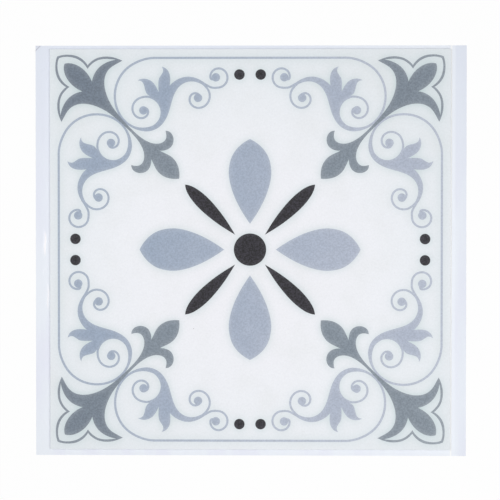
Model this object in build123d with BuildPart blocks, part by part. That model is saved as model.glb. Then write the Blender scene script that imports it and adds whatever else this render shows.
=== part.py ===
from build123d import *
from math import acos, ceil, cos, pi, radians, sin, sqrt
import os

# Square vinyl floor tile, lying face up on its release paper. Millimetres.
# X runs to the right and Y up as the face is looked at, Z up out of the face.
# The origin is under the middle of the tile, on the underside of the paper.

# Tile: a standard 12 inch square of thin vinyl
TILE_SIDE = 305.0
TILE_THICKNESS = 1.5
EDGE_BREAK = 0.2

# Release paper under the adhesive back, showing past the tile on all four sides
PAPER_THICKNESS = 0.15
PAPER_PAST_LEFT = 11.0
PAPER_PAST_RIGHT = 12.0
PAPER_PAST_TOP = 2.7
PAPER_PAST_BOTTOM = 4.7

# Print: its outlines are drawn in millimetres of a 305 mm tile and scaled to the tile's side
PRINT_SCALE = TILE_SIDE / 305
INK_THICKNESS = 0.04
# The print is drawn in straight chords that leave its smooth curves by no more than this
CURVE_GAP = 0.1

# Fine lines of the print, and the ball that each scroll ends in
LINE_WIDTH = 1.5
BALL_RADIUS = 3.2

# Disc in the middle, and the two dots in from the middle of each side
DISC_RADIUS = 12.3
DOT_RADIUS = 4.0
DOT_SPACING = 16.2
DOT_INSET = 19.4

TILE_BOTTOM = PAPER_THICKNESS
TILE_TOP = TILE_BOTTOM + TILE_THICKNESS


# Every ornament is drawn pointing up: x across it, y out from the middle of the tile.
def chords(points):
    """Points along the smooth curve through the given ones, close enough together for CURVE_GAP."""
    curve = Edge.make_spline(points)
    knots = [curve.param_at_point(point) for point in points[1:-1]]
    along = [curve @ 0]
    for start, end in zip([0, *knots], [*knots, 1]):
        gap = (curve @ ((start + end) / 2) - (curve @ start + curve @ end) / 2).length
        count = max(1, ceil(sqrt(gap / CURVE_GAP)))
        along += [curve @ (start + (end - start) * step / count) for step in range(1, count + 1)]
    return along


def draw_runs(start, runs):
    """Draws a smooth curve through each run of points, with a corner where two runs meet."""
    for run in runs:
        Polyline(*chords([Vector(*point) * PRINT_SCALE for point in (start, *run)]))
        start = run[-1]


def filled(*runs):
    """Fills a closed outline. Each run starts where the one before it ends."""
    with BuildLine() as border:
        draw_runs(runs[-1][-1], runs)
    make_face(border.edges())


def filled_both_sides(start, *runs, mode=Mode.ADD):
    """Fills a right-hand outline that starts and ends at x = 0, with its mirror image."""
    with BuildLine() as border:
        draw_runs(start, runs)
        mirror(border.edges(), about=Plane.YZ)
    make_face(border.edges(), mode=mode)


def stroke(*path):
    """Draws a line of ink through (x, y, width) points, their width in widths of a fine line."""
    middle = [Vector(x, y) * PRINT_SCALE for x, y, width in path]
    spine = Edge.make_spline(middle)
    left = []
    right = []
    for point, (x, y, width) in zip(middle, path):
        across = spine.tangent_at(point).rotate(Axis.Z, 90) * (width * LINE_WIDTH / 2)
        left.append(point + across)
        right.append(point - across)
    with BuildLine() as border:
        Polyline(*chords(left), *reversed(chords(right)), close=True)
    make_face(border.edges())


def spot(radius, *middles):
    """Draws round spots of ink."""
    with Locations(*middles):
        RegularPolygon(radius, ceil(pi / acos(1 - CURVE_GAP / radius)))


def scroll(lead, middle, angle, turn, wide, narrow, end, ball):
    """Draws a line of ink that curls in to a round ball of ink.

    After its lead out of the stem it goes round its middle from the angle through the turn,
    both in degrees, while its distance from there shrinks evenly from wide to narrow. It
    thins out at its end, inside the ball.
    """
    steps = 10
    curl = []
    for step in range(steps + 1):
        reach = wide + (narrow - wide) * step / steps
        way = radians(angle + turn * step / steps)
        curl.append((middle[0] + reach * cos(way), middle[1] + reach * sin(way)))
    stroke(*[(x, y, 1) for x, y in (*lead, *curl)], (*end, 0.3))
    spot(BALL_RADIUS, Vector(*ball) * PRINT_SCALE)


# Corner ornament: two lilies foot to foot on a thin stem, and an outline round the outer one
with BuildSketch() as lily_pair:
    # Outer side of the outline, then the lower lily edge, the stem and the inner lily
    filled_both_sides(
        (0, 207.5),
        [(3.85, 205.4), (7.55, 202.1), (9.95, 198.4), (12.1, 191.4), (11.4, 186.2)],
        [(16.5, 186.2), (20.2, 185.4), (24.0, 183.0), (27.6, 179.4), (30.0, 175.7), (32.5, 170.6)],
        [(27.7, 171.9), (21.8, 173.1), (15.9, 171.9), (9.4, 166.9), (5.3, 160.1),
         (2.6, 150.5), (1.3, 139.7), (0.95, 130.0), (1.23, 122.0), (2.7, 113.9),
         (6.6, 107.3), (12.3, 104.5), (18.4, 109.4)],
        [(20.2, 105.3), (18.05, 100.4), (12.3, 97.7), (8.4, 98.6), (4.5, 102.0)],
        [(5.6, 98.8), (7.5, 92.0), (6.3, 85.0), (3.5, 80.0), (0, 76.5)],
    )
    # White gap between the outline and the outer lily's three leaves
    filled_both_sides(
        (0, 205.8),
        [(3.0, 204.2), (6.45, 201.1), (8.65, 197.7), (10.65, 191.4), (9.65, 184.75)],
        [(16.4, 184.75), (19.65, 183.95), (23.05, 181.8), (26.4, 178.4), (29.1, 174.9)],
        [(23.6, 177.9), (16.5, 179.2), (10.0, 177.8), (5.3, 175.4)],
        [(7.1, 184.0), (6.5, 191.4), (3.5, 197.3), (0, 199.9)],
        mode=Mode.SUBTRACT,
    )

# Side ornament, right half: border line, vine with two leaves and three scrolls
with BuildSketch() as side_vines:
    stroke((-1, 145.85, 1), (72, 145.85, 1))
    stroke(
        (71, 145.85, 1), (75, 145.8, 1), (86.6, 142.0, 1), (94.9, 136.6, 1), (102.2, 123.3, 1),
        (102.0, 109.5, 1), (97.0, 99.8, 1.25), (88.7, 93.0, 1.45), (80.0, 91.4, 1.95), (72.1, 93.5, 2.2),
    )
    filled(
        [(81.8, 90.1)],
        [(74.8, 90.4), (68.6, 93.5), (64.1, 99.1), (61.3, 105.7), (58.4, 115.7),
         (52.5, 125.0), (44.8, 128.0), (38.0, 126.2), (34.2, 124.0)],
        [(33.6, 126.0)],
        [(38.4, 129.0), (47.3, 131.5), (56.0, 129.0), (61.1, 124.8)],
        [(60.8, 129.9), (61.7, 134.6), (67.1, 138.9)],
        [(66.3, 134.4), (68.8, 130.6), (69.6, 126.0), (69.9, 120.6)],
        [(71.4, 124.0), (74.8, 128.0), (79.7, 129.9), (85.1, 128.7)],
        [(81.1, 126.6), (79.3, 121.2), (76.7, 117.0)],
        [(75.5, 115.2)],
        [(71.0, 112.2), (67.8, 106.5), (68.6, 101.2), (72.8, 95.4), (81.8, 92.7)],
    )
    scroll(
        [(73.2, 115.0), (76.5, 116.3)],
        (81.15, 105.75), 86, -255, 10.05, 4.05,
        (79.5, 108.2), (81.2, 105.9),
    )
    scroll(
        [(37.5, 127.3)],
        (40.35, 115.65), 123, 328, 11.05, 3.5,
        (37.7, 117.4), (39.6, 115.4),
    )
    scroll(
        [(36.5, 127.0), (33.5, 125.3), (29.1, 123.1)],
        (24.45, 131.2), -83, -265, 8.35, 5.8,
        (28.1, 129.1), (26.0, 131.0),
    )
    mirror(about=Plane.YZ)

# Petal of the middle ornament, one towards each side
with BuildSketch() as petal:
    filled_both_sides(
        (0, 19.7),
        [(6.6, 30.0), (11.3, 40.0), (14.9, 50.0), (16.1, 59.0), (13.7, 70.0), (7.3, 78.0), (0, 83.8)],
    )

# Ray of the middle ornament, one towards each corner
with BuildSketch() as ray:
    filled_both_sides(
        (0, 16.5),
        [(3.2, 30.0), (4.6, 40.0), (5.15, 50.0), (4.25, 60.0), (2.9, 65.0), (0, 70.0)],
    )

# Release paper: thin glossy sheet, cut square
with BuildPart() as release_paper:
    with BuildSketch(Plane.XY):
        with Locations(((PAPER_PAST_RIGHT - PAPER_PAST_LEFT) / 2, (PAPER_PAST_TOP - PAPER_PAST_BOTTOM) / 2)):
            Rectangle(
                TILE_SIDE + PAPER_PAST_LEFT + PAPER_PAST_RIGHT,
                TILE_SIDE + PAPER_PAST_TOP + PAPER_PAST_BOTTOM,
            )
    extrude(amount=PAPER_THICKNESS)

# Tile: one laminated sheet, its upper edges just broken by the cutting die
with BuildPart() as vinyl_tile:
    with BuildSketch(Plane.XY.offset(TILE_BOTTOM)):
        Rectangle(TILE_SIDE, TILE_SIDE)
    extrude(amount=TILE_THICKNESS)
    fillet(vinyl_tile.faces().sort_by(Axis.Z)[-1].edges(), radius=EDGE_BREAK)

# Slate print: the four corner ornaments
with BuildPart() as print_slate:
    with BuildSketch(Plane.XY.offset(TILE_TOP)):
        with PolarLocations(0, 4, start_angle=45):
            add(lily_pair.sketch)
    extrude(amount=INK_THICKNESS)

# Blue-grey print: border lines, vines and petals, cut through where the slate stems cross
with BuildPart() as print_blue_grey:
    with BuildSketch(Plane.XY.offset(TILE_TOP)):
        with PolarLocations(0, 4):
            add(side_vines.sketch)
            add(petal.sketch)
        with PolarLocations(0, 4, start_angle=45):
            add(lily_pair.sketch, mode=Mode.SUBTRACT)
    extrude(amount=INK_THICKNESS)

# Black print: middle disc, rays towards the corners, two dots near the middle of each side
with BuildPart() as print_black:
    with BuildSketch(Plane.XY.offset(TILE_TOP)):
        spot(DISC_RADIUS, (0, 0))
        with PolarLocations(0, 4, start_angle=45):
            add(ray.sketch)
        with PolarLocations(0, 4):
            for side in (-1, 1):
                spot(DOT_RADIUS, (side * DOT_SPACING / 2, TILE_SIDE / 2 - DOT_INSET))
    extrude(amount=INK_THICKNESS)

release_paper.part.label = "release_paper"
vinyl_tile.part.label = "vinyl_tile"
print_slate.part.label = "print_slate"
print_blue_grey.part.label = "print_blue_grey"
print_black.part.label = "print_black"

export_step(release_paper.part, "parts/release_paper.step")
export_step(vinyl_tile.part, "parts/vinyl_tile.step")
export_step(print_slate.part, "parts/print_slate.step")
export_step(print_blue_grey.part, "parts/print_blue_grey.step")
export_step(print_black.part, "parts/print_black.step")
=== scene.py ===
from math import ceil, cos, pi, radians, sin, sqrt

import bmesh
import bpy
import numpy as np
from mathutils import Matrix, Vector
from mathutils.bvhtree import BVHTree
from mathutils.geometry import delaunay_2d_cdt


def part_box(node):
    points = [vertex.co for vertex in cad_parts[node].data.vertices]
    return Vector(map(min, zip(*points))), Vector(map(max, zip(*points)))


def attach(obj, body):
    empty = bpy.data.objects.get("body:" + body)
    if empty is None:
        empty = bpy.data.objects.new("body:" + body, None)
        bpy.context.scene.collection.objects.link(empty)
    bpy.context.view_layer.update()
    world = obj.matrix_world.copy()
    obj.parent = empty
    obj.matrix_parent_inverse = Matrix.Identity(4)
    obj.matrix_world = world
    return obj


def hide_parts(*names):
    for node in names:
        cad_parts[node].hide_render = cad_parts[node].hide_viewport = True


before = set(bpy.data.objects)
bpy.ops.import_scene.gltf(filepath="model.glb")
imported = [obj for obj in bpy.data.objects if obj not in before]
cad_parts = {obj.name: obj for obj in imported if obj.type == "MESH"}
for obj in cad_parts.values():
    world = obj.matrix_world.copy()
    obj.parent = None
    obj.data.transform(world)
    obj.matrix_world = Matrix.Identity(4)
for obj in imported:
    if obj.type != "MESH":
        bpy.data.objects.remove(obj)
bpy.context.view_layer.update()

MM = 0.001

# Release paper. One sheet of coated paper, bluish white and glossy, cut larger than the tile
# and left on its sticky back. Past the tile it waves a little, its top left corner is creased,
# and on the left it has buckled where the tile was pressed down.

# Three waves together are about this high where the paper is this far past the tile. They
# start elsewhere on the left, the right, the bottom and the top.
PAPER_WAVE = 0.30 * MM
PAPER_WAVE_PAST = 12 * MM
PAPER_WAVE_LENGTHS = (83 * MM, 131 * MM, 52 * MM)
PAPER_WAVE_STARTS = (0.4, 2.1, 3.7, 5.2)
# Small buckles on the left: middle x and y, half length, half width, height, all in mm
PAPER_BUCKLES = (
    (-156.4, 4.4, 9.8, 1.00, 0.46),
    (-155.7, -14.6, 4.5, 0.60, 0.16),
    (-157.3, -18.0, 4.0, 0.55, 0.13),
    (-154.2, -36.8, 10.5, 0.85, 0.38),
)
# Their ridges sway a little, in mm, and die out where the paper goes under the tile
BUCKLE_SWAY = 0.35
BUCKLE_SWAY_LENGTH = 2.6
BUCKLE_FADE = 0.5 * MM
# The painted highlight on a buckle is full where the buckle lifts the paper this far
HIGHLIGHT_LIFT = 0.42 * MM
# The corner is folded up along a diagonal and has sprung back to a low ridge
CREASE_REACH = 2.6 * MM
CREASE_HEIGHT = 0.35 * MM
CREASE_HALF_WIDTH = 0.62 * CREASE_REACH
# The mesh is finest on the left, where the buckles are, and coarse under the tile
BUCKLE_STEP = 0.25 * MM
RIGHT_STEP = 0.75 * MM
BOTTOM_STEP = 0.8 * MM
TOP_STEP = 0.45 * MM
UNDER_TILE_STEPS = (6 * MM, 2 * MM)
PAPER_SHARP = radians(40)

paper_low, paper_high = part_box("release_paper")
tile_low, tile_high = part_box("vinyl_tile")


class Wire:
    """A value that runs between the nodes of one material, with arithmetic on it."""

    def __init__(self, tree, socket=None):
        self.tree = tree
        self.socket = socket

    def node(self, kind, settings=None, values=None, output=0):
        """Adds a node: first its settings, then the values or wires of its sockets."""
        made = self.tree.nodes.new(kind)
        for name, value in (settings or {}).items():
            setattr(made, name, value)
        for name, value in (values or {}).items():
            if isinstance(value, Wire):
                self.tree.links.new(value.socket, made.inputs[name])
            else:
                made.inputs[name].default_value = value
        return Wire(self.tree, made.outputs[output])

    def maths(self, operation, *values):
        return self.node("ShaderNodeMath", {"operation": operation}, dict(enumerate(values)))

    def __add__(self, other):
        return self.maths("ADD", self, other)

    def __sub__(self, other):
        return self.maths("SUBTRACT", self, other)

    def __rsub__(self, other):
        return self.maths("SUBTRACT", other, self)

    def __mul__(self, other):
        return self.maths("MULTIPLY", self, other)

    def __truediv__(self, other):
        return self.maths("DIVIDE", self, other)

    __radd__ = __add__
    __rmul__ = __mul__

    def away(self, other):
        """The distance made up of this far one way and other far at right angles to it."""
        return self.maths("SQRT", self * self + other * other)

    def rise(self, low, high):
        """0 below low, 1 above high, and a smooth step between them."""
        return self.node(
            "ShaderNodeMapRange",
            {"interpolation_type": "SMOOTHSTEP"},
            {"Value": self, "From Min": low, "From Max": high},
        )

    def tint(self, start, end):
        """The start colour where this wire is 0 and the end colour where it is 1."""
        return self.node(
            "ShaderNodeMix",
            {"data_type": "RGBA", "clamp_factor": True},
            {0: self, 6: start, 7: end},
            output=2,
        )

    def stain(self, other, amount):
        """This colour times another one, by an amount from 0, not at all, to 1, in full."""
        return self.node(
            "ShaderNodeMix",
            {"data_type": "RGBA", "blend_type": "MULTIPLY"},
            {0: amount, 6: self, 7: other},
            output=2,
        )

    def shade(self, amount):
        """This colour made lighter or darker by a wire around 1."""
        grey = amount.node("ShaderNodeCombineColor", {}, {0: amount, 1: amount, 2: amount})
        return self.stain(grey, 1.0)

    def kept(self, name):
        """The values that a mesh keeps on its points under this name."""
        return self.node("ShaderNodeAttribute", {"attribute_name": name}, output=2)

    def place(self):
        """The piece's own coordinates in metres, whole and as x, y and z."""
        whole = self.node("ShaderNodeTexCoord", output=3)
        apart = whole.node("ShaderNodeSeparateXYZ", {}, {0: whole})
        outputs = apart.socket.node.outputs
        return whole, *[Wire(self.tree, outputs[axis]) for axis in range(3)]

    def mottle(self, size, detail=2.0, stretch=(1, 1, 1), roughness=0.5):
        """Uneven patches of about that size in metres, from 0 to 1, on these coordinates."""
        drawn = self.node(
            "ShaderNodeVectorMath", {"operation": "MULTIPLY"}, {0: self, 1: stretch}
        )
        return drawn.node(
            "ShaderNodeTexNoise",
            {"noise_dimensions": "3D"},
            {"Vector": drawn, "Scale": 1 / size, "Detail": detail, "Roughness": roughness},
        )


def new_finish(name, **fixed):
    """A new material, its Principled shader with the given fixed values, and a first wire."""
    material = bpy.data.materials.new(name)
    material.use_nodes = True
    shader = material.node_tree.nodes["Principled BSDF"]
    for socket, value in fixed.items():
        shader.inputs[socket.replace("_", " ")].default_value = value
    return material, shader, Wire(material.node_tree)


def feed(shader, **wires):
    """Links wires to the sockets of a shader."""
    for socket, wire in wires.items():
        wire.tree.links.new(wire.socket, shader.inputs[socket.replace("_", " ")])


def relief(height, depth, below=None):
    """The normal of a surface with this height, depth metres deep, on top of another relief."""
    values = {"Strength": 1.0, "Distance": depth, "Height": height}
    if below is not None:
        values["Normal"] = below
    return height.node("ShaderNodeBump", {}, values)


def new_piece(name, mesh, *materials):
    """Puts a finished mesh into the scene as a piece."""
    piece = bpy.data.objects.new(name, mesh)
    bpy.context.scene.collection.objects.link(piece)
    for material in materials:
        mesh.materials.append(material)
    return piece


def buckle_lift(x, y):
    """How far the small buckles on the left lift the paper, in metres."""
    lift = 0.0
    for middle_x, middle_y, half_length, half_width, height in PAPER_BUCKLES:
        sway = BUCKLE_SWAY * sin((y / MM - middle_y) / BUCKLE_SWAY_LENGTH)
        across = (x / MM - middle_x - sway) / half_width
        along = (y / MM - middle_y) / half_length
        lift += height * MM * np.exp(-across ** 2 - along ** 4)
    return lift * min(1.0, max(0.0, tile_low.x - x) / BUCKLE_FADE)


def paper_lift(x, y):
    """How far the underside of the paper is above the floor, in metres."""
    left = max(0.0, tile_low.x - x)
    right = max(0.0, x - tile_high.x)
    below = max(0.0, tile_low.y - y)
    above = max(0.0, y - tile_high.y)
    lift = buckle_lift(x, y)
    margins = ((left, y), (right, y), (below, x), (above, x))
    for (past, along), start in zip(margins, PAPER_WAVE_STARTS):
        wave = 0.5
        for order, length in enumerate(PAPER_WAVE_LENGTHS, 1):
            wave += sin(2 * pi * along / length + start * order) / (4 * order)
        lift += PAPER_WAVE * max(0.0, wave) * (past / PAPER_WAVE_PAST) ** 1.5
    past_crease = (y - x - (paper_high.y - paper_low.x)) / sqrt(2) + CREASE_REACH
    lift += CREASE_HEIGHT * max(0.0, 1 - abs(past_crease) / CREASE_HALF_WIDTH)
    return lift


def spaced(start, end, step):
    """Evenly spaced values from start up to but without end, about a step apart."""
    count = max(1, round((end - start) / step))
    return [start + (end - start) * k / count for k in range(count)]


columns = [
    *spaced(paper_low.x, tile_low.x, BUCKLE_STEP),
    *spaced(tile_low.x, tile_high.x, UNDER_TILE_STEPS[0]),
    *spaced(tile_high.x, paper_high.x, RIGHT_STEP),
    paper_high.x,
]
rows = [
    *spaced(paper_low.y, tile_low.y, BOTTOM_STEP),
    *spaced(tile_low.y, tile_high.y, UNDER_TILE_STEPS[1]),
    *spaced(tile_high.y, paper_high.y, TOP_STEP),
    paper_high.y,
]
paper_thickness = paper_high.z - paper_low.z
shape = bmesh.new()
sheets = []
for height in (0.0, paper_thickness):
    sheets.append([
        [shape.verts.new((x, y, paper_lift(x, y) + height)) for x in columns] for y in rows
    ])
under, over = sheets
for row in range(len(rows) - 1):
    for column in range(len(columns) - 1):
        low, high = over[row], over[row + 1]
        shape.faces.new((low[column], low[column + 1], high[column + 1], high[column]))
        low, high = under[row], under[row + 1]
        face = shape.faces.new((low[column], high[column], high[column + 1], low[column + 1]))
        face.material_index = 1
cut_edge = [(0, column) for column in range(len(columns))]
cut_edge += [(row, len(columns) - 1) for row in range(1, len(rows))]
cut_edge += [(len(rows) - 1, column) for column in range(len(columns) - 2, -1, -1)]
cut_edge += [(row, 0) for row in range(len(rows) - 2, 0, -1)]
for (row, column), (next_row, next_column) in zip(cut_edge, [*cut_edge[1:], cut_edge[0]]):
    face = shape.faces.new((
        under[row][column],
        under[next_row][next_column],
        over[next_row][next_column],
        over[row][column],
    ))
    face.material_index = 1
paper_mesh = bpy.data.meshes.new("release_paper_sheet")
shape.to_mesh(paper_mesh)
shape.free()
# How far the buckles lift each point, kept for the painted highlight
buckle_highlight = paper_mesh.attributes.new("buckle_highlight", "FLOAT", "POINT")
for vert in paper_mesh.vertices:
    buckle_highlight.data[vert.index].value = min(1.0, buckle_lift(vert.co.x, vert.co.y) / HIGHLIGHT_LIFT)
paper_mesh.shade_smooth()
paper_mesh.set_sharp_from_angle(angle=PAPER_SHARP)

# Glossy face: a bluish white coating with lilac clouds and streaks along the web
PAPER_WHITE = (0.865, 0.905, 0.970, 1)
PAPER_LILAC = (0.835, 0.860, 0.955, 1)
CLOUD_SIZE = 22 * MM
CLOUD_DEPTH = 0.25 * MM
STREAK_SIZE = 4.5 * MM
FIBRE_SIZE = 0.7 * MM
FIBRE_DEPTH = 0.008 * MM
# It is a little greyer towards the top and the right
PAPER_GREY = (0.790, 0.835, 0.930, 1)
GREY_FADE = (-20 * MM, 200 * MM)
# Painted light: past the tile's right side the paper is lighter, in place of the light that the
# tile's lit side throws on the glossy paper, and right next to the tile it has a painted bright
# line
PAPER_PAINTED_GLOW = (0.885, 0.925, 0.990, 1)
GLOW_FADE = (2.5 * MM, 4.5 * MM)
PAPER_BRIGHT_LINE = (0.970, 0.985, 0.995, 1)
BRIGHT_LINE_START = 0.3 * MM
BRIGHT_LINE_FADE = (0.5 * MM, 1.6 * MM)
# Painted highlight: it is whiter where a buckle lifts it, in place of the gloss that the buckles
# catch
PAPER_HIGHLIGHT = (0.985, 0.970, 1.0, 1)
# Painted shade of the fold greys it along the crease and on the folded tip beyond it, where the
# coating is also cracked and rougher
CREASE_PAINTED_SHADE = (0.42, 0.42, 0.50, 1)
CREASE_LINE_FADE = (0.15 * MM, 0.65 * MM)
CREASE_TIP_FADE = (0.2 * MM, 0.9 * MM)

paper_face, shader, wire = new_finish("paper_gloss", IOR=1.46, Specular_IOR_Level=0.45)
at, x, y, _ = wire.place()
past_tile = x - tile_high.x
clouds = at.mottle(CLOUD_SIZE, detail=3, stretch=(1.6, 0.35, 1))
streaks = at.mottle(STREAK_SIZE, detail=2, stretch=(1, 0.06, 1))
fibres = at.mottle(FIBRE_SIZE, detail=3)
colour = clouds.rise(0.34, 0.66).tint(PAPER_LILAC, PAPER_WHITE)
colour = y.rise(*GREY_FADE).tint(colour, PAPER_GREY)
colour = (0.35 * x.rise(tile_high.x, paper_high.x)).tint(colour, PAPER_GREY)
# Painted light beside the tile's right side, broken up by the streaks
painted_glow = (1 - past_tile.rise(*GLOW_FADE)) * x.rise(0, tile_high.x)
colour = (painted_glow * (0.55 + 0.45 * streaks)).tint(colour, PAPER_PAINTED_GLOW)
# Painted bright line along the tile's right edge
bright_line = past_tile.rise(-BRIGHT_LINE_START, 0) * (1 - past_tile.rise(*BRIGHT_LINE_FADE))
colour = bright_line.tint(colour, PAPER_BRIGHT_LINE)
colour = colour.shade(0.965 + 0.025 * streaks + 0.03 * fibres)
# Painted highlight along the buckles
painted_highlight = wire.kept("buckle_highlight").rise(0.2, 1.1)
colour = (painted_highlight * (0.7 + 0.5 * streaks)).tint(colour, PAPER_HIGHLIGHT)
# Painted shade along the crease and on the folded tip
past_crease = (y - x) * (1 / sqrt(2)) - ((paper_high.y - paper_low.x) / sqrt(2) - CREASE_REACH)
on_crease = 1 - past_crease.maths("ABSOLUTE", past_crease).rise(*CREASE_LINE_FADE)
beyond_crease = past_crease.rise(*CREASE_TIP_FADE)
crease_shade_and_crack = on_crease * (0.2 + 0.9 * fibres) + beyond_crease * (0.1 + 0.4 * fibres)
colour = crease_shade_and_crack.tint(colour, CREASE_PAINTED_SHADE)
feed(
    shader,
    Base_Color=colour,
    Roughness=0.12 + 0.10 * clouds + 0.06 * streaks + 0.4 * crease_shade_and_crack,
    Normal=relief(fibres, FIBRE_DEPTH, relief(clouds, CLOUD_DEPTH)),
)

# Back and cut edge: bare paper, fibrous and matte
PAPER_BACK = (0.80, 0.79, 0.76, 1)
PULP_SIZE = 12 * MM
BARE_FIBRE_SIZE = 0.9 * MM
BARE_FIBRE_DEPTH = 0.03 * MM

paper_back, shader, wire = new_finish("paper_back", Specular_IOR_Level=0.25)
at, *_ = wire.place()
fibres = at.mottle(BARE_FIBRE_SIZE, detail=4, stretch=(1, 0.4, 1))
pulp = at.mottle(PULP_SIZE, detail=3)
colour = pulp.tint(PAPER_BACK, PAPER_LILAC).shade(0.93 + 0.12 * fibres)
feed(
    shader,
    Base_Color=colour,
    Roughness=0.72 + 0.2 * fibres,
    Normal=relief(fibres, BARE_FIBRE_DEPTH),
)

paper = new_piece("release_paper_sheet", paper_mesh, paper_face, paper_back)
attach(paper, "root")
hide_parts("release_paper")

# Vinyl tile. One laminated sheet with a white printed ground under a clear, finely grained
# wear layer, stamped out square by a die that leaves its upper edges just rounded and its
# cut sides dragged and a little greyer than the face.

EDGE_ROUND = 0.2 * MM
EDGE_STEPS = 6
DIE_CORNER = 0.25 * MM
CORNER_STEPS = 3
# The lower edge is broken by this much inwards and upwards, and the face has its rim here
BACK_BREAK = (0.05 * MM, 0.06 * MM)
FACE_INSET = 0.245 * MM
# The face has points this far apart, in mm, and as close as this to its sides, to carry the
# shade of the ink
FACE_STEP = 1.5
FACE_MARGIN = 0.3
TILE_SHARP = radians(25)
# For the triangles of a flat outline, in mm: only those inside it, and points this near are one
INSIDE_ONLY = 1
SAME_POINT = 1e-5
# Heights and points closer than this, in metres, are the same
TINY = 1e-7


def die_ring(shape, inset, height):
    """A ring of points round the tile at a height, with its four die-cut corners rounded."""
    half = (tile_high.x - tile_low.x) / 2 - inset
    round_off = DIE_CORNER - inset
    ring = []
    for corner in range(4):
        middle_angle = radians(45 + 90 * corner)
        middle = (half - round_off) * sqrt(2)
        for step in range(CORNER_STEPS + 1):
            angle = radians(90 * corner + 90 * step / CORNER_STEPS)
            ring.append(shape.verts.new((
                middle * cos(middle_angle) + round_off * cos(angle),
                middle * sin(middle_angle) + round_off * sin(angle),
                height,
            )))
    return ring


shape = bmesh.new()
profile = [
    (BACK_BREAK[0], tile_low.z),
    (0, tile_low.z + BACK_BREAK[1]),
    (0, tile_high.z - EDGE_ROUND),
]
for step in range(1, EDGE_STEPS + 1):
    turn = radians(90 * step / EDGE_STEPS)
    profile.append((EDGE_ROUND * (1 - cos(turn)), tile_high.z - EDGE_ROUND * (1 - sin(turn))))
profile.append((FACE_INSET, tile_high.z))
rings = [die_ring(shape, inset, height) for inset, height in profile]
for lower, upper in zip(rings, rings[1:]):
    for k in range(len(lower)):
        after = (k + 1) % len(lower)
        side = shape.faces.new((lower[k], lower[after], upper[after], upper[k]))
        side.material_index = 1 if upper[k].co.z <= tile_high.z - EDGE_ROUND + TINY else 0
face_half = FACE_STEP * int((tile_high.x / MM - FACE_MARGIN) / FACE_STEP)
face_steps = np.arange(-face_half, face_half + FACE_STEP / 2, FACE_STEP)
loose = [Vector((x, y)) for y in face_steps for x in face_steps]
face_rim = [Vector((vert.co.x / MM, vert.co.y / MM)) for vert in rings[-1]]
points, _, faces, origins, _, _ = delaunay_2d_cdt(
    [*face_rim, *loose], [], [list(range(len(face_rim)))], INSIDE_ONLY, SAME_POINT
)
corners = [
    rings[-1][origin[0]] if origin[0] < len(face_rim)
    else shape.verts.new((point.x * MM, point.y * MM, tile_high.z))
    for point, origin in zip(points, origins)
]
for face in faces:
    shape.faces.new([corners[k] for k in face])
back = shape.faces.new(reversed(rings[0]))
back.material_index = 1
tile_mesh = bpy.data.meshes.new("vinyl_tile_sheet")
shape.to_mesh(tile_mesh)
shape.free()
tile_mesh.shade_smooth()
tile_mesh.set_sharp_from_angle(angle=TILE_SHARP)

# Wear layer: a fine sandy grain, slow swells in the sheet and patches of wear
GRAIN_SIZE = 1.3 * MM
GRAIN_DEPTH = 0.05 * MM
SWELL_SIZE = 45 * MM
SWELL_DEPTH = 0.4 * MM
WEAR_SIZE = 13 * MM


def wear_layer(shader, at):
    """The clear wear layer over ground and print alike. Returns its grain."""
    grain = at.mottle(GRAIN_SIZE, detail=2, roughness=0.6)
    swell = at.mottle(SWELL_SIZE, detail=1)
    worn = at.mottle(WEAR_SIZE, detail=3)
    feed(
        shader,
        Roughness=0.46 + 0.14 * grain + 0.06 * worn,
        Normal=relief(grain, GRAIN_DEPTH, relief(swell, SWELL_DEPTH)),
    )
    return grain


# Ground: white, and from a point below the middle outwards a little bluer and then greyer
GROUND_MIDDLE = (0.888, 0.892, 0.936, 1)
GROUND_FIELD = (0.885, 0.903, 0.946, 1)
GROUND_BORDER = (0.801, 0.846, 0.883, 1)
PALE_BELOW = 14 * MM
FIELD_FADE = (20 * MM, 130 * MM)
BORDER_FADE = (80 * MM, 210 * MM)
# Milky patches in the vinyl
GROUND_MILK = (0.800, 0.822, 0.835, 1)
MILK_SIZE = 30 * MM
# One dark speck on the face: where it is and how wide, in mm
GROUND_DIRT = (0.33, 0.32, 0.30, 1)
SPECK = (-43.0, -60.3, 0.55)
# The vinyl is a little translucent, so light is lost under the ink and the ground beside it is
# darker, most of all in red
INK_SHADE = (0.60, 0.725, 0.71, 1)

ground, shader, wire = new_finish("vinyl_ground", IOR=1.5, Specular_IOR_Level=0.3)
at, x, y, _ = wire.place()
grain = wear_layer(shader, at)
from_middle = x.away(y + PALE_BELOW)
milk = at.mottle(MILK_SIZE, detail=4)
colour = from_middle.rise(*FIELD_FADE).tint(GROUND_MIDDLE, GROUND_FIELD)
colour = from_middle.rise(*BORDER_FADE).tint(colour, GROUND_BORDER)
colour = (milk.rise(0.42, 0.75) * 0.35).tint(colour, GROUND_MILK)
from_speck = (x - SPECK[0] * MM).away(y - SPECK[1] * MM)
speck = 1 - from_speck.rise(0.3 * SPECK[2] * MM, SPECK[2] * MM)
colour = (0.6 * speck).tint(colour, GROUND_DIRT)
colour = colour.stain(INK_SHADE, wire.kept("under_ink"))
feed(shader, Base_Color=colour.shade(0.935 + 0.125 * grain))

# Cut side and back: the filled core, dragged by the die, below the paler face
CORE_GREY = (0.88, 0.88, 0.88, 1)
CORE_DARK = (0.76, 0.76, 0.755, 1)
FILLER_SIZE = 1.2 * MM
DRAG_SIZE = 0.6 * MM
DRAG_DEPTH = 0.06 * MM
# The face ends between these depths
FACE_DEPTHS = (0.42 * MM, 0.32 * MM)

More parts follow.
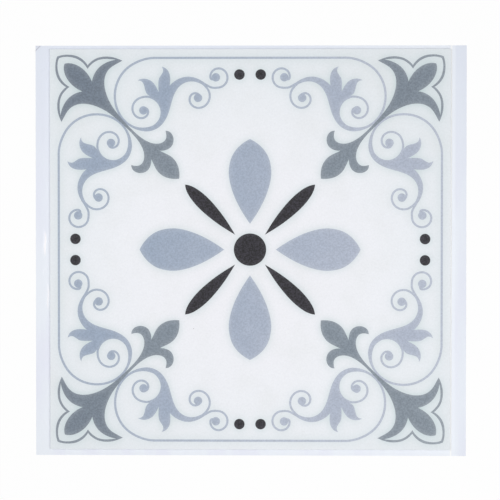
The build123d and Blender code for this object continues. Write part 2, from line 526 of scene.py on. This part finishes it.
core, shader, wire = new_finish("vinyl_core", IOR=1.5, Specular_IOR_Level=0.25)
at, _, _, z = wire.place()
drag = at.mottle(DRAG_SIZE, detail=3, stretch=(1, 1, 0.12))
filler = at.mottle(FILLER_SIZE, detail=4)
colour = filler.rise(0.35, 0.75).tint(CORE_GREY, CORE_DARK)
in_face = z.rise(*[tile_high.z - depth for depth in FACE_DEPTHS])
colour = in_face.tint(colour, GROUND_BORDER)
feed(
    shader,
    Base_Color=colour.shade(0.92 + 0.14 * drag),
    Roughness=0.6 + 0.25 * drag,
    Normal=relief(drag, DRAG_DEPTH),
)

tile = new_piece("vinyl_tile_sheet", tile_mesh, ground, core)
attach(tile, "root")
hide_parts("vinyl_tile")

# Slate print. Dark slate ink, printed on the ground: in each corner two lilies foot to foot
# on a thin stem, and an outline round the outer one. Drawn once, pointing away from the
# middle of the tile, and repeated four times round it. Outlines are in mm of the tile.

INK_SLATE = (0.165, 0.201, 0.251, 1)
INK_SLATE_THIN = (0.245, 0.287, 0.334, 1)
# Straight pieces of an outline leave its smooth curve by no more than this, in mm
INK_CURVE_GAP = 0.012
# Points inside an area of ink are this far apart, in mm, to carry its paler edges
INK_STEP = 1.2
# Uneven ink: sizes of its patches and speckles, and where an inner thinness gives way
PATCH_SIZE = 18 * MM
SPECKLE_SIZE = 1.3 * MM
INNER_FADE = (100 * MM, 180 * MM)

# All three inks lie at one height
ink_low, ink_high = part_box("print_slate")


def run_slopes(points):
    """The spans between points and the direction of the smooth curve through them at each."""
    spans = np.linalg.norm(np.diff(points, axis=0), axis=1)
    chords = np.diff(points, axis=0) / spans[:, None]
    along = np.concatenate(([0], np.cumsum(spans)))
    used = min(4, len(points))
    system = np.eye(len(points))
    slopes = np.zeros_like(points)
    slopes[0] = np.polyfit(along[:used], points[:used], used - 1)[-2]
    slopes[-1] = np.polyfit(along[-used:] - along[-1], points[-used:], used - 1)[-2]
    for k in range(1, len(points) - 1):
        system[k, k - 1:k + 2] = spans[k], 2 * (spans[k - 1] + spans[k]), spans[k - 1]
        slopes[k] = 3 * (spans[k] * chords[k - 1] + spans[k - 1] * chords[k])
    return spans, np.linalg.solve(system, slopes)


def smooth_run(points):
    """Points on the smooth curve through the given ones, so close that it shows no corners."""
    points = np.array(points, float)
    spans, slopes = run_slopes(points)
    made = [points[0]]
    for k, span in enumerate(spans):
        start, end = points[k], points[k + 1]
        leave, arrive = slopes[k] * span, slopes[k + 1] * span
        gap = np.linalg.norm(leave - arrive) / 8
        count = max(1, ceil(sqrt(gap / INK_CURVE_GAP)))
        for step in range(1, count + 1):
            u = step / count
            made.append(
                start * (1 - u) ** 2 * (1 + 2 * u) + end * u ** 2 * (3 - 2 * u)
                + leave * u * (1 - u) ** 2 - arrive * u ** 2 * (1 - u)
            )
    return made


def runs(start, *each_run):
    """Smooth runs of points one after another, with a corner where two of them meet."""
    made = [np.array(start, float)]
    for run in each_run:
        made += smooth_run([made[-1], *run])[1:]
    return made


def closed(*each_run):
    """A closed outline of runs, the first of which starts where the last one ends."""
    return runs(each_run[-1][-1], *each_run)[1:]


def both_sides(start, *each_run):
    """A right-hand outline that starts and ends at x = 0, with its mirror image."""
    right = runs(start, *each_run)
    return right + [point * (-1, 1) for point in reversed(right[1:-1])]


def turned(outline, degrees):
    """An outline turned round the middle of the tile."""
    turn = radians(degrees)
    return [
        np.array((x * cos(turn) - y * sin(turn), x * sin(turn) + y * cos(turn)))
        for x, y in outline
    ]


def ink_area(covered, cut=()):
    """A flat mesh of all that the covered outlines take in and the cut ones don't."""
    points = []
    rings = []
    for outline in (*covered, *cut):
        ring = np.array(outline)
        after = np.roll(ring, -1, axis=0)
        if np.sum(ring[:, 0] * after[:, 1] - after[:, 0] * ring[:, 1]) < 0:
            ring = ring[::-1]
        rings.append(list(range(len(points), len(points) + len(ring))))
        points += [Vector(point) for point in ring]
    low, high = np.min(points, axis=0), np.max(points, axis=0)
    points += [
        Vector((x, y))
        for x in np.arange(low[0], high[0], INK_STEP) for y in np.arange(low[1], high[1], INK_STEP)
    ]
    points, _, faces, _, _, owners = delaunay_2d_cdt(points, [], rings, INSIDE_ONLY, SAME_POINT)
    shape = bmesh.new()
    corners = [shape.verts.new((point.x * MM, point.y * MM, ink_low.z)) for point in points]
    for face, owner in zip(faces, owners):
        if owner and max(owner) < len(covered):
            shape.faces.new([corners[k] for k in face])
    bmesh.ops.delete(shape, geom=[v for v in shape.verts if not v.link_faces], context="VERTS")
    mesh = bpy.data.meshes.new("ink_area")
    shape.to_mesh(mesh)
    shape.free()
    return mesh


def socket_of(tree, name):
    """The identifier of a node group's input with this name."""
    return next(item.identifier for item in tree.interface.items_tree if item.name == name)


def print_press():
    """The node group that gives an area of ink its thickness and repeats it round the tile."""
    tree = bpy.data.node_groups.new("print_press", "GeometryNodeTree")
    for name, kind in (
        ("Ink area", "Geometry"), ("Ink thickness", "Float"), ("Repeats", "Int"),
        ("First turn", "Float"), ("Ink", "Material"),
    ):
        tree.interface.new_socket(name, in_out="INPUT", socket_type="NodeSocket" + kind)
    tree.interface.new_socket("Print", in_out="OUTPUT", socket_type="NodeSocketGeometry")
    given = Wire(tree).node("NodeGroupInput").socket.node.outputs
    area, thickness, repeats, first_turn, ink = [Wire(tree, given[k]) for k in range(5)]
    raised = area.node(
        "GeometryNodeExtrudeMesh",
        {"mode": "FACES"},
        {"Mesh": area, "Offset Scale": thickness, "Individual": False},
    )
    underside = area.node("GeometryNodeFlipFaces", {}, {"Mesh": area})
    joined = area.node("GeometryNodeJoinGeometry")
    tree.links.new(raised.socket, joined.socket.node.inputs[0])
    tree.links.new(underside.socket, joined.socket.node.inputs[0])
    solid = joined.node(
        "GeometryNodeMergeByDistance", {}, {"Geometry": joined, "Distance": TINY}
    )
    turn = first_turn + area.node("GeometryNodeInputIndex") * (2 * pi) / repeats
    about_middle = turn.node("ShaderNodeCombineXYZ", {}, {"Z": turn})
    spread = area.node("GeometryNodePoints", {}, {"Count": repeats})
    placed = spread.node(
        "GeometryNodeInstanceOnPoints",
        {},
        {
            "Points": spread,
            "Instance": solid,
            "Rotation": about_middle.node("FunctionNodeEulerToRotation", {}, {0: about_middle}),
        },
    )
    real = placed.node("GeometryNodeRealizeInstances", {}, {"Geometry": placed})
    inked = real.node("GeometryNodeSetMaterial", {}, {"Geometry": real, "Material": ink})
    end = tree.nodes.new("NodeGroupOutput")
    tree.links.new(inked.socket, end.inputs[0])
    return tree


press = print_press()


def pressed(area, ink, repeats, first_turn):
    """The mesh of an area of ink after the press: thick, repeated and with its material."""
    carrier = bpy.data.objects.new("ink_carrier", area)
    bpy.context.scene.collection.objects.link(carrier)
    modifier = carrier.modifiers.new("press", "NODES")
    modifier.node_group = press
    for name, value in (
        ("Ink thickness", ink_high.z - ink_low.z), ("Repeats", repeats),
        ("First turn", radians(first_turn)), ("Ink", ink),
    ):
        modifier[socket_of(press, name)] = value
    evaluated = carrier.evaluated_get(bpy.context.evaluated_depsgraph_get())
    mesh = bpy.data.meshes.new_from_object(evaluated)
    carrier.modifiers.remove(modifier)
    bpy.data.objects.remove(carrier)
    return mesh


def printed_ink(name, ink, thin_ink, drift, speckled, lit, inner=None):
    """Printed ink under the wear layer, speckled, and uneven in patches and over the tile.

    Its drift is how thin it lies in the middle, and how much thinner for each metre of x and y.
    Where an inner thinness is given, that holds round the middle instead. Where the ground
    beside the ink is open, light from it pales the ink, by as much as lit for a lone point.
    """
    material, shader, wire = new_finish(name, IOR=1.5, Specular_IOR_Level=0.3)
    at, x, y, _ = wire.place()
    wear_layer(shader, at)
    patches = at.mottle(PATCH_SIZE, detail=3)
    speckle = at.mottle(SPECKLE_SIZE, detail=4, roughness=0.75).rise(0.38, 0.62)
    thin = drift[0] + x * drift[1] + y * drift[2]
    if inner is not None:
        outer = x.away(y).rise(*INNER_FADE)
        thin = thin * outer + inner * (1 - outer)
    thin = thin + 0.5 * (patches - 0.5)
    colour = thin.tint(ink, thin_ink)
    colour = colour.shade((1 - speckled) + 2 * speckled * speckle)
    feed(shader, Base_Color=(lit * wire.kept("open_ground")).tint(colour, GROUND_FIELD))
    return material


# From the tip of the outline: shoulder, side leaf, then inwards the stem and the inner lily
lily_outline = both_sides(
    (0, 207.7),
    [(3.9, 205.45), (7.55, 202.1), (10.2, 198.55), (12.2, 191.4), (11.6, 186.5)],
    [(16.5, 186.5), (20.2, 185.5), (24.15, 183.2), (27.9, 179.65), (30.4, 175.95), (32.9, 170.3)],
    [(27.7, 171.85), (21.8, 172.95), (16.0, 171.65), (9.8, 166.6), (5.75, 159.9), (2.7, 150.5),
     (1.4, 139.7), (1.0, 130.0), (1.25, 122.0), (2.8, 113.95), (6.6, 107.3), (12.3, 104.5),
     (14.1, 104.8), (16.1, 106.15), (18.4, 109.45)],
    [(20.2, 105.3), (18.05, 100.4), (12.3, 97.8), (8.5, 98.8), (4.5, 102.0)],
    [(5.6, 98.8), (7.6, 92.0), (6.65, 84.85), (3.65, 79.85), (0, 76.3)],
)
lily_gap = both_sides(
    (0, 205.8),
    [(3.0, 204.15), (6.3, 200.95), (8.55, 197.65), (10.4, 191.4), (9.65, 184.75)],
    [(16.4, 184.8), (19.65, 183.9), (23.05, 181.85), (26.55, 178.5), (29.95, 174.3)],
    [(23.55, 177.8), (16.5, 179.2), (9.95, 178.0), (5.2, 175.35)],
    [(7.2, 184.0), (6.35, 191.35), (3.35, 197.15), (0, 199.9)],
)
slate = printed_ink(
    "ink_slate", INK_SLATE, INK_SLATE_THIN, drift=(0.42, 2.3, -1.3), speckled=0.15,
    lit=0.195, inner=0.74,
)
slate_mesh = pressed(ink_area([lily_outline], [lily_gap]), slate, 4, 45)
slate_print = new_piece("print_slate_lilies", slate_mesh, slate)
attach(slate_print, "root")
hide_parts("print_slate")

# Blue-grey print. Paler ink: along each side a thin border line that turns in as a vine,
# swells into a leafed stem and ends in three scrolls, and in the middle a petal towards each
# side. Where it meets the slate stem in a corner it stops.

INK_BLUE_GREY = (0.328, 0.394, 0.502, 1)
INK_BLUE_GREY_THIN = (0.432, 0.478, 0.579, 1)
# Fine lines are this wide, in mm. A scroll is drawn in so many steps as a slightly wider line,
# which thins out in a ball of ink of this radius.
LINE_WIDTH = 1.5
SCROLL_STEPS = 10
SCROLL_LINE = 1.06
SCROLL_END = 0.3
BALL_RADIUS = 3.2


def stroke(*path):
    """A line of ink through (x, y, width) points, their width in widths of a fine line."""
    middle = np.array([(x, y) for x, y, _ in path], float)
    _, slopes = run_slopes(middle)
    left, right = [], []
    for point, slope, (_, _, width) in zip(middle, slopes, path):
        across = np.array((-slope[1], slope[0])) / np.linalg.norm(slope) * width * LINE_WIDTH / 2
        left.append(point + across)
        right.append(point - across)
    return smooth_run(left) + smooth_run(right)[::-1]


def spot(radius, x, y):
    """A round spot of ink."""
    count = ceil(pi / sqrt(2 * INK_CURVE_GAP / radius))
    return [
        np.array((x + radius * cos(2 * pi * k / count), y + radius * sin(2 * pi * k / count)))
        for k in range(count)
    ]


def scroll(lead, middle, angle, turn, wide, narrow, end, ball):
    """A line of ink that curls in to a ball.

    After its lead it goes round its middle from the angle through the turn, both in degrees,
    while its distance from there shrinks evenly from wide to narrow.
    """
    curl = []
    for step in range(SCROLL_STEPS + 1):
        reach = wide + (narrow - wide) * step / SCROLL_STEPS
        way = radians(angle + turn * step / SCROLL_STEPS)
        curl.append((middle[0] + reach * cos(way), middle[1] + reach * sin(way)))
    path = [(x, y, SCROLL_LINE) for x, y in (*lead, *curl)]
    return [stroke(*path, (*end, SCROLL_END)), spot(BALL_RADIUS, *ball)]


# Border line, vine, leafed stem and scrolls of the right half of a side
half_side = [
    stroke((-1, 145.78, 1.09), (72, 145.78, 1.09)),
    stroke(
        (71, 145.78, 1.09), (75, 145.68, 1.09), (86.75, 142.3, 1.14), (94.9, 136.65, 1.14),
        (102.2, 123.3, 1.14), (102.0, 109.5, 1.1), (97.15, 99.7, 1.14), (88.55, 93.2, 1.2),
        (80.0, 91.45, 1.9), (72.1, 93.6, 2.1),
    ),
    closed(
        [(81.8, 90.2)],
        [(74.8, 90.5), (68.7, 93.65), (64.25, 99.2), (61.5, 105.75), (58.6, 115.75), (52.6, 125.1),
         (44.8, 127.9), (37.95, 126.3), (34.3, 124.15)],
        [(33.6, 126.0)],
        [(38.3, 129.2), (47.3, 131.5), (56.0, 128.95), (61.15, 124.65)],
        [(60.75, 129.9), (61.7, 134.65), (67.3, 139.15)],
        [(66.5, 134.5), (68.95, 130.7), (69.75, 126.0), (69.55, 119.8)],
        [(71.6, 123.9), (74.85, 127.9), (79.7, 129.9), (85.5, 128.7)],
        [(81.25, 126.5), (79.7, 121.1), (76.6, 117.1)],
        [(75.75, 114.9)],
        [(71.15, 112.05), (68.3, 106.45), (68.55, 101.2), (72.7, 95.25), (81.9, 92.75)],
    ),
    *scroll(
        [(73.2, 114.9), (76.55, 116.1)],
        (81.48, 105.95), 86, -255, 9.95, 3.95, (79.5, 108.2), (81.2, 105.9),
    ),
    *scroll(
        [(37.5, 127.3)],
        (40.45, 115.45), 123, 328, 11.05, 3.25, (37.7, 117.4), (39.6, 115.4),
    ),
    *scroll(
        [(36.5, 127.0), (33.5, 125.35), (29.1, 123.25)],
        (24.5, 131.25), -83, -290, 8.25, 5.5, (27.8, 128.9), (26.0, 131.0),
    ),
]
other_half = [[point * (-1, 1) for point in outline] for outline in half_side]
petal = both_sides(
    (0, 19.7),
    [(6.7, 30.0), (11.7, 40.0), (15.0, 50.0), (16.15, 59.0), (15.5, 65.0), (14.1, 70.0),
     (12.0, 74.0), (8.75, 78.0), (6.4, 80.1), (3.55, 82.15), (0, 84.1)],
)
blue_grey = printed_ink(
    "ink_blue_grey", INK_BLUE_GREY, INK_BLUE_GREY_THIN, drift=(0.55, 6.0, -1.6), speckled=0.095,
    lit=0.24,
)
blue_grey_area = ink_area(
    [*half_side, *other_half, petal],
    [turned(lily_outline, -45), turned(lily_outline, 45)],
)
blue_grey_print = new_piece(
    "print_blue_grey_vines", pressed(blue_grey_area, blue_grey, 4, 0), blue_grey
)
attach(blue_grey_print, "root")
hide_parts("print_blue_grey")

# Black print. The last and darkest ink: a disc in the middle, a slender ray towards each
# corner, and two dots inside the border line at the middle of each side.

INK_BLACK = (0.014, 0.013, 0.017, 1)
INK_BLACK_THIN = (0.024, 0.022, 0.030, 1)
# In mm: the two dots of a side are this far apart, and this far from the middle of the tile
DISC_RADIUS = 12.3
DOT_RADIUS = 4.0
DOT_SPACING = 16.2
DOT_HEIGHT = 133.1

ray = both_sides(
    (0, 16.0),
    [(1.0, 20.0), (3.2, 30.0), (4.6, 40.0), (5.15, 50.0), (4.25, 60.0), (2.9, 65.0), (0, 70.0)],
)
dots = [spot(DOT_RADIUS, side * DOT_SPACING / 2, DOT_HEIGHT) for side in (-1, 1)]
black = printed_ink(
    "ink_black", INK_BLACK, INK_BLACK_THIN, drift=(0.5, 0.4, -0.4), speckled=0.95,
    lit=0.038,
)
shape = bmesh.new()
shape.from_mesh(pressed(ink_area([turned(ray, 45), *dots]), black, 4, 0))
shape.from_mesh(pressed(ink_area([spot(DISC_RADIUS, 0, 0)]), black, 1, 0))
black_mesh = bpy.data.meshes.new("print_black_flower")
shape.to_mesh(black_mesh)
shape.free()
black_print = new_piece("print_black_flower", black_mesh, black)
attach(black_print, "root")
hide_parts("print_black")

# Soft edges of the print. The vinyl is a little translucent: ink keeps light out of the ground
# beside it, and open ground sends light in under the edge of the ink. How much ink lies round
# each point of the tile and of the prints is worked out here and kept on them.

INK_OPACITY = ((slate_print, 0.90), (blue_grey_print, 0.74), (black_print, 1.0))
# In mm: how far shade and light spread, and how far apart and from what height ink is looked for
SHADE_REACH = 3.0
LIGHT_REACH = 1.9
SAMPLE_STEP = 0.5
LOOK_HEIGHT = 1.0

samples = np.arange(-face_half, face_half + SAMPLE_STEP / 2, SAMPLE_STEP)
inked = np.zeros((len(samples), len(samples)))
for print_piece, opacity in INK_OPACITY:
    surface = BVHTree.FromObject(print_piece, bpy.context.evaluated_depsgraph_get())
    for row, y in enumerate(samples):
        for column, x in enumerate(samples):
            above = (x * MM, y * MM, tile_high.z + LOOK_HEIGHT * MM)
            if surface.ray_cast(above, (0, 0, -1))[0] is not None:
                inked[row, column] = opacity


def blurred(plan, places, reach):
    """A plan of the tile at the samples, spread out by a reach and read at a grid of places."""
    spread = np.exp(-0.5 * ((places[:, None] - samples[None, :]) / reach) ** 2)
    spread *= SAMPLE_STEP / (reach * sqrt(2 * pi))
    return spread @ plan @ spread.T


def keep_on(mesh, name, plan, step):
    """Keeps the values of a plan, whose points are a step apart, on the points of a mesh."""
    kept = mesh.attributes.new(name, "FLOAT", "POINT")
    last = len(plan) - 1
    for vert in mesh.vertices:
        column, row = [
            min(last, max(0, round((place / MM + face_half) / step))) for place in vert.co[:2]
        ]
        kept.data[vert.index].value = plan[row, column]


keep_on(tile_mesh, "under_ink", blurred(inked, face_steps, SHADE_REACH), FACE_STEP)
open_plan = 1 - blurred(inked > 0, samples, LIGHT_REACH)
for print_piece, _ in INK_OPACITY:
    keep_on(print_piece.data, "open_ground", open_plan, SAMPLE_STEP)

# Studio: a pale floor that the camera sees as white, with the object's faint shadow on it,
# two soft lamps from the sides and a camera straight above.

FLOOR_REACH = 12.0
FLOOR_BELOW = 0.02 * MM
FLOOR_PALE = (0.90, 0.90, 0.90, 1)
FLOOR_GLOW = 0.94
ROOM_LIGHT = 0.42


def seen_directly(wire):
    """1 for what the camera sees, itself or in gloss and glass, and 0 for light on the object."""
    path = wire.node("ShaderNodeLightPath").socket.node.outputs
    camera_ray, glossy_ray, through_ray = [
        Wire(wire.tree, path[f"Is {kind} Ray"]) for kind in ("Camera", "Glossy", "Transmission")
    ]
    return wire.maths("MAXIMUM", wire.maths("MAXIMUM", camera_ray, glossy_ray), through_ray)


floor_finish = bpy.data.materials.new("floor")
floor_finish.use_nodes = True
tree = floor_finish.node_tree
tree.nodes.clear()
wire = Wire(tree)
matte = wire.node("ShaderNodeBsdfDiffuse", {}, {"Color": FLOOR_PALE})
white = wire.node("ShaderNodeEmission", {}, {"Strength": 1.0})
shown = wire.node(
    "ShaderNodeMixShader", {}, {0: FLOOR_GLOW * seen_directly(wire), 1: matte, 2: white}
)
end = tree.nodes.new("ShaderNodeOutputMaterial")
tree.links.new(shown.socket, end.inputs["Surface"])
shape = bmesh.new()
bmesh.ops.create_grid(shape, x_segments=8, y_segments=8, size=FLOOR_REACH)
bmesh.ops.translate(shape, vec=(0, 0, -FLOOR_BELOW), verts=shape.verts)
floor_mesh = bpy.data.meshes.new("floor")
shape.to_mesh(floor_mesh)
shape.free()
floor = new_piece("floor", floor_mesh, floor_finish)

world = bpy.data.worlds.new("room")
bpy.context.scene.world = world
world.use_nodes = True
tree = world.node_tree
tree.nodes.clear()
wire = Wire(tree)
lit = wire.node("ShaderNodeBackground", {}, {"Color": (1, 1, 1, 1), "Strength": ROOM_LIGHT})
white = wire.node("ShaderNodeBackground", {}, {"Color": (1, 1, 1, 1), "Strength": 1.0})
shown = wire.node("ShaderNodeMixShader", {}, {0: seen_directly(wire), 1: lit, 2: white})
end = tree.nodes.new("ShaderNodeOutputWorld")
tree.links.new(shown.socket, end.inputs["Surface"])


# Both lamps are squares of this side, and their light spreads by this angle
LAMP_SIDE = 0.8
LAMP_SPREAD = radians(70)


def soft_lamp(name, power, place, aim):
    """A square soft lamp that shines from its place at a point on the tile."""
    lamp = bpy.data.lights.new(name, "AREA")
    lamp.shape = "SQUARE"
    lamp.size = LAMP_SIDE
    lamp.energy = power
    lamp.spread = LAMP_SPREAD
    holder = bpy.data.objects.new(name, lamp)
    bpy.context.scene.collection.objects.link(holder)
    holder.location = place
    holder.rotation_euler = (Vector(aim) - Vector(place)).to_track_quat("-Z", "Y").to_euler()


soft_lamp("key_lamp", 1.35, place=(0.72, -0.40, 1.05), aim=(0.01, -0.02, 0))
soft_lamp("fill_lamp", 1.15, place=(-0.72, 0.30, 1.05), aim=(0.0, -0.01, 0))

# The camera takes in this width at its aim, and leans and rolls a little
CAMERA_DISTANCE = 1.5
CAMERA_VIEW_WIDTH = 0.38067
CAMERA_SENSOR_WIDTH = 36
CAMERA_LEAN = (radians(0.99), radians(1.10))
CAMERA_ROLL = radians(0.04)
CAMERA_AIM = Vector((0, -0.3 * MM, tile_high.z))

camera = bpy.data.objects.new("camera", bpy.data.cameras.new("camera"))
bpy.context.scene.collection.objects.link(camera)
camera.data.sensor_width = CAMERA_SENSOR_WIDTH
camera.data.lens = CAMERA_SENSOR_WIDTH * CAMERA_DISTANCE / CAMERA_VIEW_WIDTH
back = Vector((sin(CAMERA_LEAN[0]), sin(CAMERA_LEAN[1]), 1)).normalized()
right = Vector((cos(CAMERA_ROLL), sin(CAMERA_ROLL), 0))
right = (right - right.dot(back) * back).normalized()
upright = back.cross(right)
camera.matrix_world = (
    Matrix.Translation(CAMERA_AIM + back * CAMERA_DISTANCE)
    @ Matrix((right, upright, back)).transposed().to_4x4()
)
bpy.context.scene.camera = camera
bpy.context.scene.view_settings.view_transform = "Standard"
